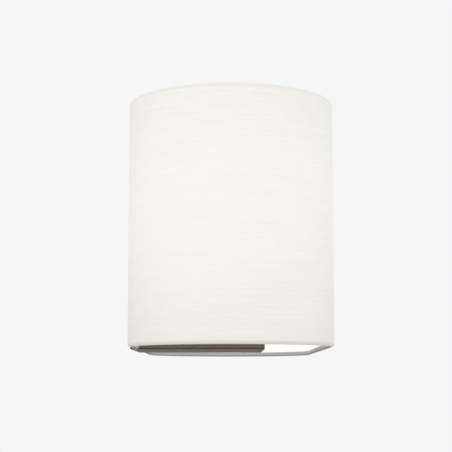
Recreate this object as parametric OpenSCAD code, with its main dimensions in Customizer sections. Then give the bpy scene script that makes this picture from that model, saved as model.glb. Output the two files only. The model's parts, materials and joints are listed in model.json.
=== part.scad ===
// Wall lamp: an obround fabric shade that stands on a folded steel bracket with two lampholders.
// Millimetres, Z up. The wall is the plane Y = 0, and the lamp stands out of it towards -Y.
// The origin lies on the wall, midway between the two wall screws.

/* [Shade] */
// Overall width of the shade along the wall
shade_w = 350; // [310:5:420]
// Depth of the shade from its back panel to its front
shade_d = 134; // [122:2:160]
// Height of the shade from rim to rim
shade_h = 160; // [135:5:220]
// Thickness of the slub fabric
fabric_t = 0.5; // [0.4:0.1:0.8]
// Thickness of the white lining sheet that stiffens the fabric
lining_t = 0.7; // [0.5:0.1:1]
// Glue line between the fabric and what it covers
glue_t = 0.1; // [0.05:0.05:0.15]
// Width of the overlapped seam on the back panel
seam_w = 10; // [8:1:14]
// Gap between the wall and the shade's back panel
wall_gap = 3; // [2:0.5:8]
// How far the shade's lower rim hangs below the bracket
rim_drop = 0.4; // [0:0.1:1.5]

/* [Shade frame] */
// Diameter of the steel wire of the two rings
ring_wire_d = 2.2; // [2:0.1:3]
// Bend radius of the lower ring at the notch, on the wire's centreline
bend_r = 5; // [4:0.5:8]
// Clearance between the rolled edge of the notch and the bracket's side
notch_gap = 1; // [0.6:0.1:2]
// Width of the carrier strap that passes between the bulbs
carrier_w = 15; // [12:1:17]
// Thickness of the carrier strap
carrier_t = 1.5; // [1.2:0.1:2]
// How far the carrier strap stops short of the bracket's front
carrier_setback = 4; // [2:0.5:8]

/* [Bracket] */
// Width of the bracket along the wall
bracket_w = 96; // [92:1:106]
// How far the bracket stands out of the wall
bracket_d = 94; // [90:1:106]
// Height of the bracket
bracket_h = 28; // [26:1:36]
// Thickness of the bracket's folded sheet and of its bottom cover
sheet_t = 1.2; // [1:0.1:1.5]
// Outer radius of the bracket's folded edges
edge_r = 1; // [0.6:0.1:1.4]
// Gap round the bottom cover
cover_gap = 0.3; // [0.2:0.1:0.5]
// Width of the tapped lug behind the bracket's front panel
lug_w = 16; // [12:1:20]
// Depth of the tapped lug
lug_d = 12; // [10:1:14]

/* [Wall plate] */
// Thickness of the wall plate
plate_t = 1.5; // [1.2:0.1:2]
// Gap between the wall plate and the inside of the bracket
plate_gap = 0.3; // [0.2:0.1:0.5]
// Distance between the two wall screws
screw_spacing = 60; // [54:1:64]
// Width of the slotted holes for the wall screws
slot_w = 4.5; // [4:0.1:5.5]
// Length of the slotted holes from end to end
slot_l = 9; // [7:0.5:10]
// Depth of the two side flanges
flange_d = 20; // [18:1:24]
// Height of the two side flanges
flange_h = 16; // [14:1:18]
// Distance of the side screws from the wall
side_screw_y = 13; // [12:0.5:14]
// Width of the tongue that carries the terminal block
tongue_w = 64; // [60:1:70]
// Depth of the tongue
tongue_d = 38; // [36:1:42]
// Bore of the grommet that the supply cable comes in through
cable_d = 7; // [6:0.5:8]
// Wall of the grommet round the cable
grommet_wall = 1.5; // [1:0.1:2]
// Width of the grommet's lip on each side of the plate
grommet_lip = 1.5; // [1:0.1:2]

/* [Terminal block] */
// Distance between neighbouring poles
pole_pitch = 10; // [9:0.5:11]
// Width of one pole
pole_w = 7; // [6.5:0.5:8]
// Depth of the block from front to back
block_d = 16; // [14:1:18]
// Height of the poles
block_h = 12; // [11:0.5:13]
// Height of the web between the poles
web_h = 6; // [5:0.5:8]
// Distance of the block's middle from the wall
block_y = 19; // [18:0.5:20]
// Outer diameter of the brass barrels
barrel_d = 4.4; // [4:0.1:5]
// Bore of the brass barrels
barrel_bore = 2.8; // [2.4:0.1:3.2]

/* [Lampholders] */
// Distance between the axes of the two lampholders
lamp_spacing = 66; // [64:1:68]
// Distance of the lampholders' axes from the wall
lamp_y = 66; // [60:1:72]
// Diameter of a lampholder at its base
holder_d = 26; // [25:0.5:27]
// Height of a lampholder
holder_h = 37; // [35:0.5:38]
// Wall of the lampholder's shell
holder_wall = 2; // [1.6:0.1:2.4]
// Thickness of the lampholder's floor
holder_floor = 2.5; // [2:0.1:3]
// Grip ribs round the waist of a lampholder
grip_ribs = 24; // [16:1:32]
// Diameter of the hollow threaded stem under a lampholder
stem_d = 10; // [9:0.5:11]
// Wall of the hollow stem
stem_wall = 1.1; // [0.9:0.1:1.3]
// Thickness of the locknuts on the stem
locknut_t = 2.5; // [2:0.1:3]
// Size of the locknuts across their flats
locknut_af = 14; // [13:0.5:15]
// Height of the insulating core
core_h = 5.2; // [4.5:0.1:6]
// Wall of the threaded contact sleeve
sleeve_wall = 0.4; // [0.3:0.1:0.6]
// Height of the threaded contact sleeve
sleeve_h = 18; // [16:0.5:20]

/* [Bulbs] */
// Diameter of a bulb's globe
bulb_d = 45; // [40:1:46]
// Overall length of a bulb from its contact to its top
bulb_l = 78; // [75:1:84]
// Thickness of the bulb's glass
glass_t = 1; // [0.8:0.1:1.4]
// Diameter of the bulb's screw cap
cap_d = 13.8; // [13.6:0.1:13.9]
// Diameter of the flare at the top of the cap
cap_flare_d = 17; // [16:0.5:18]
// Thickness of the cap's metal
cap_wall = 0.5; // [0.3:0.1:0.7]

/* [Fasteners] */
// Diameter of the shade stud and of the locating pin
stud_d = 4; // [3.5:0.5:5]
// How far the stud stands out of the knurled nut
stud_proud = 2; // [1:0.5:4]
// Distance of the shade stud from the wall
stud_y = 28; // [24:1:32]
// Distance of the locating pin from the wall
pin_y = 84; // [80:0.5:84.5]
// Diameter of the knurled nut
nut_d = 12; // [11:0.5:14]
// Height of the knurled nut
nut_h = 6.5; // [6:0.5:9]
// Number of knurls round the nut
nut_knurls = 30; // [24:2:36]
// Thickness of the washer under the knurled nut
washer_t = 0.8; // [0.6:0.1:1.2]
// Diameter of the side screws
side_screw_d = 4; // [3.5:0.5:5]
// Diameter of the cover screws and of the terminal block's screw
small_screw_d = 3; // [2.5:0.5:3.5]
// Diameter of the earth screw
earth_screw_d = 4; // [3.5:0.5:5]

/* [Leads] */
// Outer diameter of the internal leads
lead_d = 2; // [1.6:0.1:2.2]

/* [Hidden] */
$fn = 64;

// Colours
bronze = "#5c4d42";
zinc = "#b9bbbd";
brass = "#c9a85c";
white_moulding = "#e9e6df";
cream_fabric = "#ede9e0";
white_sheet = "#f4f2ee";
opal = "#f7f4ec";
black_rubber = "#2b2b2b";

// Clearances, and how far a cut runs past what it cuts
run_gap = 0.1;
seat_gap = 0.2;
cut = 1;

// Screws
head_edge = 0.6;
driver_slot_w = 0.8;
recess_w = 0.7;
stud_head_h = 1.5;
stud_head_d = stud_d + 3;

// Shade
end_r = shade_d / 2;
straight_half = (shade_w - shade_d) / 2;
shade_mid_y = -wall_gap - end_r;
wire_r = ring_wire_d / 2;
roll_inner_r = wire_r + glue_t;
roll_r = roll_inner_r + fabric_t;
lining_inset = fabric_t + glue_t;
wall_inset = lining_inset + lining_t;

// Bracket and heights
bracket_top_z = bracket_h / 2;
bracket_bottom_z = -bracket_h / 2;
rim_z = bracket_bottom_z - rim_drop;
shade_top_z = rim_z + shade_h;
low_ring_z = rim_z + roll_r;
high_ring_z = shade_top_z - roll_r;
crossbar_z = bracket_top_z + carrier_t + wire_r;
notch_half = bracket_w / 2 + notch_gap + roll_r;
seam_mid_x = (notch_half + bend_r + straight_half) / 2;
cover_top_z = bracket_bottom_z + sheet_t;
inner_half_w = bracket_w / 2 - sheet_t;
inner_front_y = -(bracket_d - sheet_t);

// Wall plate and terminal block
plate_half_w = inner_half_w - plate_gap;
plate_bottom_z = cover_top_z + plate_gap;
plate_top_z = bracket_top_z - sheet_t - plate_gap;
tongue_top_z = plate_bottom_z + plate_t;
block_x = -4;
corner_r = 3;
ear_w = 8;
ear_h = 3;
barrel_sink = 0.5;
barrel_setback = 0.5;
screw_sink = 0.6;
pole_x = [for (i = [-1:1]) block_x + i * pole_pitch];
block_left_x = pole_x[0] - pole_w / 2;
block_right_x = pole_x[2] + pole_w / 2;
barrel_z = tongue_top_z + web_h - barrel_sink;
block_front_y = -(block_y + block_d / 2);
barrel_l = block_d - 2 * barrel_setback;
terminal_screw_r = 1.1;
terminal_screw_off = block_d / 4;
earth_x = block_right_x + 11;
tag_t = 0.8;
tag_d = earth_screw_d + 5;
cover_screw_edge = 4;
rear_cover_screw_y = -(tongue_d - cover_screw_edge);
front_cover_screw_y = inner_front_y + lug_d / 2;
grommet_hole_r = cable_d / 2 + grommet_wall;
grommet_lip_t = 1.2;

// Lampholders and bulbs
stem_proud = 2.5;
stem_drop = sheet_t + locknut_t + stem_proud;
stem_bore_r = stem_d / 2 - stem_wall;
waist_depth = 0.8;
upper_nut_z = bracket_top_z + holder_floor;
core_z = upper_nut_z + locknut_t;
core_top_z = core_z + core_h;
sleeve_r = cap_d / 2 + 1.5 * run_gap;
holder_bore_r = holder_d / 2 - waist_depth - holder_wall;
contact_rise = 1.8;
bulb_z = core_top_z + contact_rise + seat_gap;
globe_z = bulb_z + bulb_l - bulb_d / 2;
contact_d = 4.6;
contact_h = 1.2;
cap_h = 24;
cap_shell_z = 5;
cap_flare_z = 19;
cap_flare_rise = 1.6;
neck_r = cap_flare_d / 2 - cap_wall - seat_gap;
neck_z = 21;
neck_end_z = 26;
neck_angle = 50;

// Leads: the drop below a stem, the run out of a pole, and the space beside a lead's axis
lead_steps = 12;
lead_drop = 12;
lead_run = 18;
lead_off = lead_d / 2 + seat_gap;

// Carrier and nut
pin_proud = 1.8;
collar_d = nut_d - 3;
weld_room = 1.5;
carrier_top_z = bracket_top_z + carrier_t;
nut_z = carrier_top_z + washer_t;
stud_top_z = nut_z + nut_h + stud_proud;

// Plain rectangle with rounded corners, centred
module round_rect(w, h, r) {
    square([w, h - 2 * r], center = true);
    square([w - 2 * r, h], center = true);
    for (sx = [-1, 1], sy = [-1, 1])
        translate([sx * (w / 2 - r), sy * (h / 2 - r)])
            circle(r);
}

// Rectangle that stands on the X axis, with its two upper corners rounded
module fold_outline(w, h, r) {
    translate([-w / 2, 0])
        square([w, h - r]);
    translate([-w / 2 + r, 0])
        square([w - 2 * r, h]);
    for (side = [-1, 1])
        translate([side * (w / 2 - r), h - r])
            circle(r);
}

// Slot with round ends, centred, along X
module slot_outline(length, width) {
    square([length - width, width], center = true);
    for (side = [-1, 1])
        translate([side * (length - width) / 2, 0])
            circle(width / 2);
}

// Rectangle with half-round ends whose edge lies a distance inset inside the shade's face
module shade_outline(inset) {
    r = end_r - inset;
    translate([0, shade_mid_y]) {
        square([2 * straight_half, 2 * r], center = true);
        for (side = [-1, 1])
            translate([side * straight_half, 0])
                circle(r, $fn = 128);
    }
}

// Slotted screw along +Z from the origin: its head stands below Z = 0 and its shank above it.
// The head is twice as wide as the shank, and 0.6 of its width high.
module pan_screw(d, length) {
    head_d = 2 * d;
    head_h = 0.6 * d;
    difference() {
        union() {
            cylinder(d = d, h = length);
            translate([0, 0, head_edge - head_h])
                cylinder(d = head_d, h = head_h - head_edge);
            translate([0, 0, -head_h])
                cylinder(d1 = head_d - 2 * head_edge, d2 = head_d, h = head_edge);
        }
        translate([0, 0, -head_h])
            cube([head_d + 2 * cut, driver_slot_w, head_h], center = true);
    }
}

// Cross-recessed screw along +Z from the origin, its countersunk head flush at Z = 0
module countersunk_screw(d, length, head_h) {
    head_d = d + 2 * head_h;
    difference() {
        union() {
            cylinder(d1 = head_d, d2 = d, h = head_h);
            cylinder(d = d, h = length);
        }
        for (angle = [0, 90])
            rotate(angle)
                cube([head_d / 2, recess_w, head_h], center = true);
    }
}

// The two lampholder positions
module at_lamps() {
    for (side = [-1, 1])
        translate([side * lamp_spacing / 2, -lamp_y, 0])
            children();
}

// Wall plate: flat plate, two side flanges and a tongue, cut and bent from one sheet
module wall_plate() {
    color(zinc)
        difference() {
            union() {
                translate([-plate_half_w, -plate_t, plate_bottom_z])
                    cube([2 * plate_half_w, plate_t, plate_top_z - plate_bottom_z]);
                for (side = [-1, 1])
                    translate([side * (plate_half_w - plate_t / 2), 0, 0])
                        rotate([90, 0, 90])
                            translate([0, 0, -plate_t / 2])
                                linear_extrude(plate_t)
                                    translate([-flange_d / 2, 0])
                                        round_rect(flange_d, flange_h, corner_r);
                translate([0, 0, plate_bottom_z])
                    linear_extrude(plate_t)
                        translate([0, -tongue_d / 2])
                            round_rect(tongue_w, tongue_d, corner_r);
                translate([-tongue_w / 2, -plate_t, plate_bottom_z])
                    cube([tongue_w, plate_t, plate_t]);
                for (side = [-1, 1])
                    translate([side * (plate_half_w - plate_t / 2) - plate_t / 2, -plate_t, -flange_h / 2])
                        cube([plate_t, plate_t, flange_h]);
            }
            for (side = [-1, 1])
                translate([side * screw_spacing / 2, cut, 0])
                    rotate([90, 0, 0])
                        linear_extrude(plate_t + 2 * cut)
                            slot_outline(slot_l, slot_w);
            translate([0, cut, 0])
                rotate([90, 0, 0])
                    cylinder(r = grommet_hole_r, h = plate_t + 2 * cut);
            translate([-plate_half_w - cut, -side_screw_y, 0])
                rotate([0, 90, 0])
                    cylinder(d = side_screw_d + run_gap, h = 2 * plate_half_w + 2 * cut);
            translate([0, rear_cover_screw_y, plate_bottom_z - cut])
                cylinder(d = small_screw_d + run_gap, h = plate_t + 2 * cut);
            translate([block_left_x - ear_w / 2, -block_y, plate_bottom_z - cut])
                cylinder(d = small_screw_d + run_gap, h = plate_t + 2 * cut);
            translate([earth_x, -block_y, plate_bottom_z - cut])
                cylinder(d = earth_screw_d + run_gap, h = plate_t + 2 * cut);
        }
}

// Grommet: a bush with a lip on the plate's front face and a thin one let into the wall side
module cable_grommet() {
    bush_r = grommet_hole_r - run_gap / 2;
    lip_r = grommet_hole_r + grommet_lip;
    lip_z = plate_t + run_gap / 2;
    taper = 0.3;
    mouth_wall = 0.8;
    color(black_rubber)
        rotate([90, 0, 0])
            rotate_extrude()
                polygon([
                    [cable_d / 2, 0],
                    [bush_r, 0],
                    [bush_r, lip_z],
                    [lip_r, lip_z],
                    [lip_r - taper, plate_t + grommet_lip_t],
                    [cable_d / 2 + mouth_wall, plate_t + 2 * grommet_lip_t],
                    [cable_d / 2, plate_t + 2 * grommet_lip_t]
                ]);
}

// Bracket body: top, front and two sides folded from one sheet, open at the wall and below
module bracket_body() {
    color(bronze) {
        difference() {
            intersection() {
                translate([0, 0, bracket_bottom_z])
                    linear_extrude(bracket_h)
                        rotate(180)
                            fold_outline(bracket_w, bracket_d, edge_r);
                rotate([90, 0, 0])
                    linear_extrude(bracket_d)
                        translate([0, bracket_bottom_z])
                            fold_outline(bracket_w, bracket_h, edge_r);
                translate([-bracket_w / 2, 0, bracket_bottom_z])
                    rotate([90, 0, 90])
                        linear_extrude(bracket_w)
                            fold_outline(2 * bracket_d, bracket_h, edge_r);
            }
            translate([-inner_half_w, inner_front_y, bracket_bottom_z - cut])
                cube([2 * inner_half_w, bracket_d, bracket_h - sheet_t + cut]);
            at_lamps()
                translate([0, 0, bracket_top_z - sheet_t - cut])
                    cylinder(d = stem_d + run_gap, h = sheet_t + 2 * cut);
            for (y = [stud_y, pin_y])
                translate([0, -y, bracket_top_z - sheet_t - cut])
                    cylinder(d = stud_d + run_gap, h = sheet_t + 2 * cut);
            translate([-bracket_w / 2 - cut, -side_screw_y, 0])
                rotate([0, 90, 0])
                    cylinder(d = side_screw_d + 2 * run_gap, h = bracket_w + 2 * cut);
        }
        difference() {
            translate([-lug_w / 2, inner_front_y, cover_top_z])
                cube([lug_w, lug_d, sheet_t]);
            translate([0, front_cover_screw_y, cover_top_z - cut])
                cylinder(d = small_screw_d + run_gap, h = sheet_t + 2 * cut);
        }
    }
}

// Bottom cover: a flat plate between the bracket's sides, flush with their lower edges
module bottom_cover() {
    color(bronze)
        difference() {
            translate([-inner_half_w + cover_gap, inner_front_y + cover_gap, bracket_bottom_z])
                cube([2 * (inner_half_w - cover_gap), -inner_front_y - 2 * cover_gap, sheet_t]);
            for (y = [rear_cover_screw_y, front_cover_screw_y])
                translate([0, y, bracket_bottom_z]) {
                    translate([0, 0, -cut])
                        cylinder(d = small_screw_d + 2 * run_gap, h = sheet_t + 2 * cut);
                    cylinder(
                        d1 = small_screw_d + 2 * sheet_t + 2 * run_gap,
                        d2 = small_screw_d + 2 * run_gap,
                        h = sheet_t
                    );
                }
        }
}

module cover_screws() {
    color(bronze)
        for (y = [rear_cover_screw_y, front_cover_screw_y])
            translate([0, y, bracket_bottom_z])
                countersunk_screw(small_screw_d, sheet_t + plate_gap + plate_t, sheet_t);
}

module side_screws() {
    color(bronze)
        for (side = [-1, 1])
            translate([side * bracket_w / 2, -side_screw_y, 0])
                rotate([0, -side * 90, 0])
                    pan_screw(side_screw_d, sheet_t + plate_gap + 2 * plate_t);
}

// Terminal block: three poles on one web, with an ear for its screw
module terminal_block() {
    color(white_moulding)
        difference() {
            union() {
                translate([block_left_x, block_front_y, tongue_top_z])
                    cube([block_right_x - block_left_x, block_d, web_h]);
                for (x = pole_x)
                    translate([x - pole_w / 2, block_front_y, tongue_top_z])
                        cube([pole_w, block_d, block_h]);
                translate([block_left_x - ear_w, -block_y - ear_w / 2, tongue_top_z])
                    cube([ear_w, ear_w, ear_h]);
            }
            for (x = pole_x) {
                translate([x, block_front_y - cut, barrel_z])
                    rotate([-90, 0, 0])
                        cylinder(d = barrel_d + run_gap, h = block_d + 2 * cut);
                for (off = [-1, 1])
                    translate([x, -block_y + off * terminal_screw_off, barrel_z])
                        cylinder(r = terminal_screw_r + 2 * seat_gap, h = block_h);
            }
            translate([block_left_x - ear_w / 2, -block_y, tongue_top_z - cut])
                cylinder(d = small_screw_d + 2 * run_gap, h = ear_h + 2 * cut);
        }
}

module terminal_barrels() {
    color(brass)
        for (x = pole_x)
            translate([x, -block_y - barrel_l / 2, barrel_z])
                rotate([-90, 0, 0])
                    difference() {
                        cylinder(d = barrel_d, h = barrel_l);
                        translate([0, 0, -cut])
                            cylinder(d = barrel_bore, h = barrel_l + 2 * cut);
                    }
}

module terminal_screws() {
    top_z = tongue_top_z + block_h - screw_sink;
    foot_z = barrel_z + barrel_d / 2 + run_gap / 2;
    color(zinc)
        for (x = pole_x, off = [-1, 1])
            translate([x, -block_y + off * terminal_screw_off, foot_z])
                difference() {
                    cylinder(r = terminal_screw_r, h = top_z - foot_z);
                    translate([0, 0, top_z - foot_z])
                        cube([3 * terminal_screw_r, terminal_screw_r / 2, terminal_screw_r], center = true);
                }
}

module block_screw() {
    color(zinc)
        translate([block_left_x - ear_w / 2, -block_y, tongue_top_z + ear_h])
            rotate([180, 0, 0])
                pan_screw(small_screw_d, ear_h + plate_t);
}

module earth_screw() {
    color(brass)
        translate([earth_x, -block_y, tongue_top_z + tag_t])
            rotate([180, 0, 0])
                pan_screw(earth_screw_d, tag_t + plate_t);
}

// Ring tag of the earth lead, clamped under the head of the earth screw
module earth_tag() {
    color(zinc)
        translate([earth_x, -block_y, tongue_top_z])
            difference() {
                cylinder(d = tag_d, h = tag_t);
                translate([0, 0, -cut])
                    cylinder(d = earth_screw_d + 2 * run_gap, h = tag_t + 2 * cut);
            }
}

// Lampholder shell: base flange, ribbed waist and top bead round one axis, with a floor
module lampholder_shell() {
    r = holder_d / 2;
    waist_r = r - waist_depth;
    hole_r = (stem_d + run_gap) / 2;
    edge = 0.6;
    flange_top = 3;
    flange_slope = 2;
    bead_h = 4;
    bead_slope = 1;
    rib_r = 0.5;
    rotate_extrude()
        polygon([
            [hole_r, 0],
            [r - edge, 0],
            [r, edge],
            [r, flange_top],
            [waist_r, flange_top + flange_slope],
            [waist_r, holder_h - bead_h - bead_slope],
            [r, holder_h - bead_h],
            [r, holder_h - edge],
            [r - edge, holder_h],
            [holder_bore_r + edge, holder_h],
            [holder_bore_r, holder_h - edge],
            [holder_bore_r, holder_floor],
            [hole_r, holder_floor]
        ]);
    for (k = [0:grip_ribs - 1])
        rotate(360 * k / grip_ribs)
            translate([waist_r, 0, flange_top])
                cylinder(r = rib_r, h = holder_h - bead_h - flange_top);
}

module left_lampholder() {
    color(white_moulding)
        translate([-lamp_spacing / 2, -lamp_y, bracket_top_z])
            lampholder_shell();
}

module right_lampholder() {
    color(white_moulding)
        translate([lamp_spacing / 2, -lamp_y, bracket_top_z])
            lampholder_shell();
}

// Insulating cores: a disc in each shell with a raised ring that centres the contact sleeve
module holder_cores() {
    ring_r = sleeve_r - run_gap;
    ring_h = 0.8;
    ring_wall = 1.2;
    key_r = 1.2;
    key_off = holder_bore_r - 1;
    color("#d8d2c4")
        at_lamps()
            translate([0, 0, core_z])
                difference() {
                    union() {
                        cylinder(r = holder_bore_r - run_gap, h = core_h);
                        translate([0, 0, core_h])
                            cylinder(r = ring_r, h = ring_h);
                    }
                    translate([0, 0, core_h])
                        cylinder(r = ring_r - ring_wall, h = ring_h + cut);
                    for (side = [-1, 1])
                        translate([0, side * key_off, -cut])
                            cylinder(r = key_r, h = core_h + 2 * cut);
                }
}

module contact_sleeves() {
    color(brass)
        at_lamps()
            translate([0, 0, core_top_z])
                difference() {
                    cylinder(r = sleeve_r + sleeve_wall, h = sleeve_h);
                    translate([0, 0, -cut])
                        cylinder(r = sleeve_r, h = sleeve_h + 2 * cut);
                }
}

// Sprung centre contacts: a strip that arches up from the core to the bulb's contact
module centre_contacts() {
    strip_t = 0.4;
    strip_w = 4;
    foot = 4;
    foot_l = 1.4;
    crown = 1.6;
    slant = 0.2;
    color(brass)
        at_lamps()
            translate([0, strip_w / 2, core_top_z])
                rotate([90, 0, 0])
                    linear_extrude(strip_w)
                        polygon([
                            [-foot, 0], [foot_l - foot, 0],
                            [-crown, contact_rise - strip_t], [crown, contact_rise - strip_t],
                            [foot - foot_l, 0], [foot, 0],
                            [foot, strip_t], [foot - foot_l + slant, strip_t],
                            [crown + slant, contact_rise], [-crown - slant, contact_rise],
                            [foot_l - foot - slant, strip_t], [-foot, strip_t]
                        ]);
}

module hollow_stems() {
    stem_l = stem_drop + holder_floor + locknut_t;
    color(zinc)
        at_lamps()
            translate([0, 0, bracket_top_z - stem_drop])
                difference() {
                    cylinder(d = stem_d, h = stem_l);
                    translate([0, 0, -cut])
                        cylinder(r = stem_bore_r, h = stem_l + 2 * cut);
                }
}

module locknuts() {
    color(zinc)
        at_lamps()
            for (z = [bracket_top_z - sheet_t - locknut_t, upper_nut_z])
                translate([0, 0, z])
                    difference() {
                        cylinder(d = locknut_af / cos(30), h = locknut_t, $fn = 6);
                        translate([0, 0, -cut])
                            cylinder(d = stem_d + run_gap, h = locknut_t + 2 * cut);
                    }
}

// Point on a cubic curve, and its direction
function curve_point(p, t) =
    pow(1 - t, 3) * p[0] + 3 * t * pow(1 - t, 2) * p[1] + 3 * t * t * (1 - t) * p[2] + pow(t, 3) * p[3];
function unit(v) = v / norm(v);
function path_dir(path, i) =
    unit(path[min(i + 1, len(path) - 1)] - path[max(i - 1, 0)]);

// Eight-sided tube swept along a path that never runs along X
module lead(path) {
    sides = 8;
    rings = len(path);
    points = [
        for (i = [0:rings - 1])
            let (
                along = path_dir(path, i),
                across = unit(cross(along, [1, 0, 0])),
                other = cross(along, across)
            )
            for (k = [0:sides - 1])
                path[i] + lead_d / 2 * (cos(360 * k / sides) * across + sin(360 * k / sides) * other)
    ];
    walls = [
        for (i = [0:rings - 2], k = [0:sides - 1])
            let (
                a = i * sides + k,
                b = i * sides + (k + 1) % sides
            )
            each [[a, b, b + sides], [a, b + sides, a + sides]]
    ];
    first_cap = [for (k = [1:sides - 2]) [0, k + 1, k]];
    last = (rings - 1) * sides;
    last_cap = [for (k = [1:sides - 2]) [last, last + k, last + k + 1]];
    polyhedron(points = points, faces = concat(walls, first_cap, last_cap));
}

// A lead that drops straight through a hollow stem and then curves to a pole of the block.
// way is -1 for the lead that runs low and starts left in its stem, and 1 for the high, right one.
module stem_lead(side, way, pole, dip) {
    top = [side * lamp_spacing / 2 + way * stem_bore_r / 2, -lamp_y, core_z - seat_gap];
    below = [top[0], top[1], bracket_top_z - stem_drop];
    end = [pole_x[pole] + side * lead_off, block_front_y - seat_gap, barrel_z + way * lead_off];
    curve = [below, below - [0, 0, lead_drop], end - [0, lead_run, dip], end];
    lead(concat([top], [for (i = [0:lead_steps]) curve_point(curve, i / lead_steps)]));
}

module brown_leads() {
    color("#6b3e22")
        for (side = [-1, 1])
            stem_lead(side, -1, 0, 2);
}

module blue_leads() {
    color("#3c63a8")
        for (side = [-1, 1])
            stem_lead(side, 1, 1, -6);
}

module earth_lead() {
    start = [pole_x[2], block_front_y - seat_gap, barrel_z];
    end = [earth_x, -block_y - tag_d / 2 - seat_gap, tongue_top_z + lead_off];
    curve = [start, start - [0, lead_run / 2, 0], end - [0, lead_run * 3 / 4, 0], end];
    color("#7d9b3a")
        lead([for (i = [0:lead_steps]) curve_point(curve, i / lead_steps)]);
}

// Stud clinched into the bracket's top: its head under the sheet, its tip tapered
module clinched_stud(y, top_z, tip_h) {
    length = top_z - bracket_top_z + sheet_t;
    translate([0, -y, bracket_top_z - sheet_t]) {
        translate([0, 0, -stud_head_h])
            cylinder(d = stud_head_d, h = stud_head_h);
        cylinder(d = stud_d, h = length - tip_h);
        translate([0, 0, length - tip_h])
            cylinder(d1 = stud_d, d2 = stud_d - 2 * tip_h, h = tip_h);
    }
}

module shade_stud() {
    color(zinc)
        clinched_stud(stud_y, stud_top_z, 0.5);
}

module locating_pin() {
    color(zinc)
        clinched_stud(pin_y, carrier_top_z + pin_proud, 0.8);
}

// Notch in the back panel, in the plane of the panel, its edge a distance grow outside the wire's line
module notch_outline(grow) {
    half = notch_half + grow;
    top = crossbar_z + grow;
    base = low_ring_z + grow;
    corner_r = bend_r + grow;
    flare_r = bend_r - grow;
    translate([-half, base - 2 * roll_r])
        square([2 * half, top - corner_r - base + 2 * roll_r]);
    translate([-half + corner_r, base])
        square([2 * (half - corner_r), top - base]);
    for (side = [-1, 1]) {
        translate([side * (half - corner_r), top - corner_r])
            circle(corner_r);
        difference() {
            translate([side * (half + flare_r / 2), base + flare_r / 2])
                square(flare_r, center = true);
            translate([side * (half + flare_r), base + flare_r])
                circle(flare_r);
        }
    }
}

module notch_void(grow) {
    rotate([90, 0, 0])
        translate([0, 0, -cut])
            linear_extrude(wall_gap + 4 * roll_r + cut)
                notch_outline(grow);
}

// Cross-section of the wire or of the fabric rolled round it.
// X points out of the shade, Y towards the middle of the shade's height.
module rim_section(part) {
    if (part == "wire") circle(wire_r);
    if (part == "roll") difference() {
        circle(roll_r);
        circle(roll_inner_r);
        translate([roll_r - wall_inset, 0])
            square(2 * roll_r);
    }
}

// Straight stretch of a rim along +X from the origin, the outside towards +Y
module rim_run(part, length) {
    rotate([90, 0, 90])
        linear_extrude(length)
            rim_section(part);
}

// Two half-round ends and the front stretch of a rim
module rim_front_and_ends(part) {
    path_r = end_r - roll_r;
    translate([0, shade_mid_y, 0]) {
        for (side = [-1, 1])
            translate([side * straight_half, 0, 0])
                rotate(-side * 90)
                    rotate_extrude(angle = 180, $fn = 128)
                        translate([path_r, 0])
                            rim_section(part);
        translate([straight_half, -path_r, 0])
            rotate(180)
                rim_run(part, 2 * straight_half);
    }
}

// Left half of the stretch that climbs over the bracket: foot bend, upright, head bend
module notch_climb(part) {
    translate([-straight_half, 0, 0])
        rim_run(part, straight_half - notch_half - bend_r);
    translate([-(notch_half + bend_r), 0, bend_r])
        rotate([-90, 0, 0])
            rotate_extrude(angle = 90)
                translate([bend_r, 0])
                    rotate(90)
                        rim_section(part);
    translate([-notch_half, 0, bend_r])
        linear_extrude(crossbar_z - low_ring_z - 2 * bend_r)
            rotate(90)
                rim_section(part);
    translate([-(notch_half - bend_r), 0, crossbar_z - low_ring_z - bend_r])
        rotate([-90, 0, 0])
            rotate(180)
                rotate_extrude(angle = 90)
                    translate([bend_r, 0])
                        mirror([1, -1])
                            rim_section(part);
}

module lower_rim(part) {
    translate([0, 0, low_ring_z]) {
        rim_front_and_ends(part);
        translate([0, -wall_gap - roll_r, 0]) {
            notch_climb(part);
            mirror([1, 0, 0])
                notch_climb(part);
            translate([-(notch_half - bend_r), 0, crossbar_z - low_ring_z])
                rim_run(part, 2 * (notch_half - bend_r));
        }
    }
}

module upper_rim(part) {
    translate([0, 0, high_ring_z])
        mirror([0, 0, 1]) {
            rim_front_and_ends(part);
            translate([-straight_half, -wall_gap - roll_r, 0])
                rim_run(part, 2 * straight_half);
        }
}

// Fabric from ring to ring, with the overlapped seam on its back panel
module shade_fabric() {
    color(cream_fabric)
        difference() {
            union() {
                translate([0, 0, low_ring_z])
                    linear_extrude(high_ring_z - low_ring_z)
                        difference() {
                            shade_outline(0);
                            shade_outline(fabric_t);
                        }
                translate([seam_mid_x - seam_w / 2, -wall_gap - fabric_t / 2, low_ring_z])
                    cube([seam_w, fabric_t, high_ring_z - low_ring_z]);
            }
            notch_void(0);
        }
}

module shade_lining() {
    edge = roll_inner_r;
    color(white_sheet)
        difference() {
            translate([0, 0, low_ring_z + edge])
                linear_extrude(high_ring_z - low_ring_z - 2 * edge)
                    difference() {
                        shade_outline(lining_inset);
                        shade_outline(wall_inset);
                    }
            notch_void(edge);
        }
}

module top_ring() {
    color(white_moulding)
        upper_rim("wire");
}

module bottom_ring() {
    color(white_moulding)
        lower_rim("wire");
}

module top_edge_roll() {
    color(cream_fabric)
        upper_rim("roll");
}

// The rolled edge is left open where the carrier strap is welded to the wire
module bottom_edge_roll() {
    window_w = carrier_w + 2 * weld_room;
    color(cream_fabric)
        difference() {
            lower_rim("roll");
            translate([-window_w / 2, -wall_gap - 3 * roll_r, crossbar_z - 2 * roll_r])
                cube([window_w, 4 * roll_r, 4 * roll_r]);
        }
}

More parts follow.
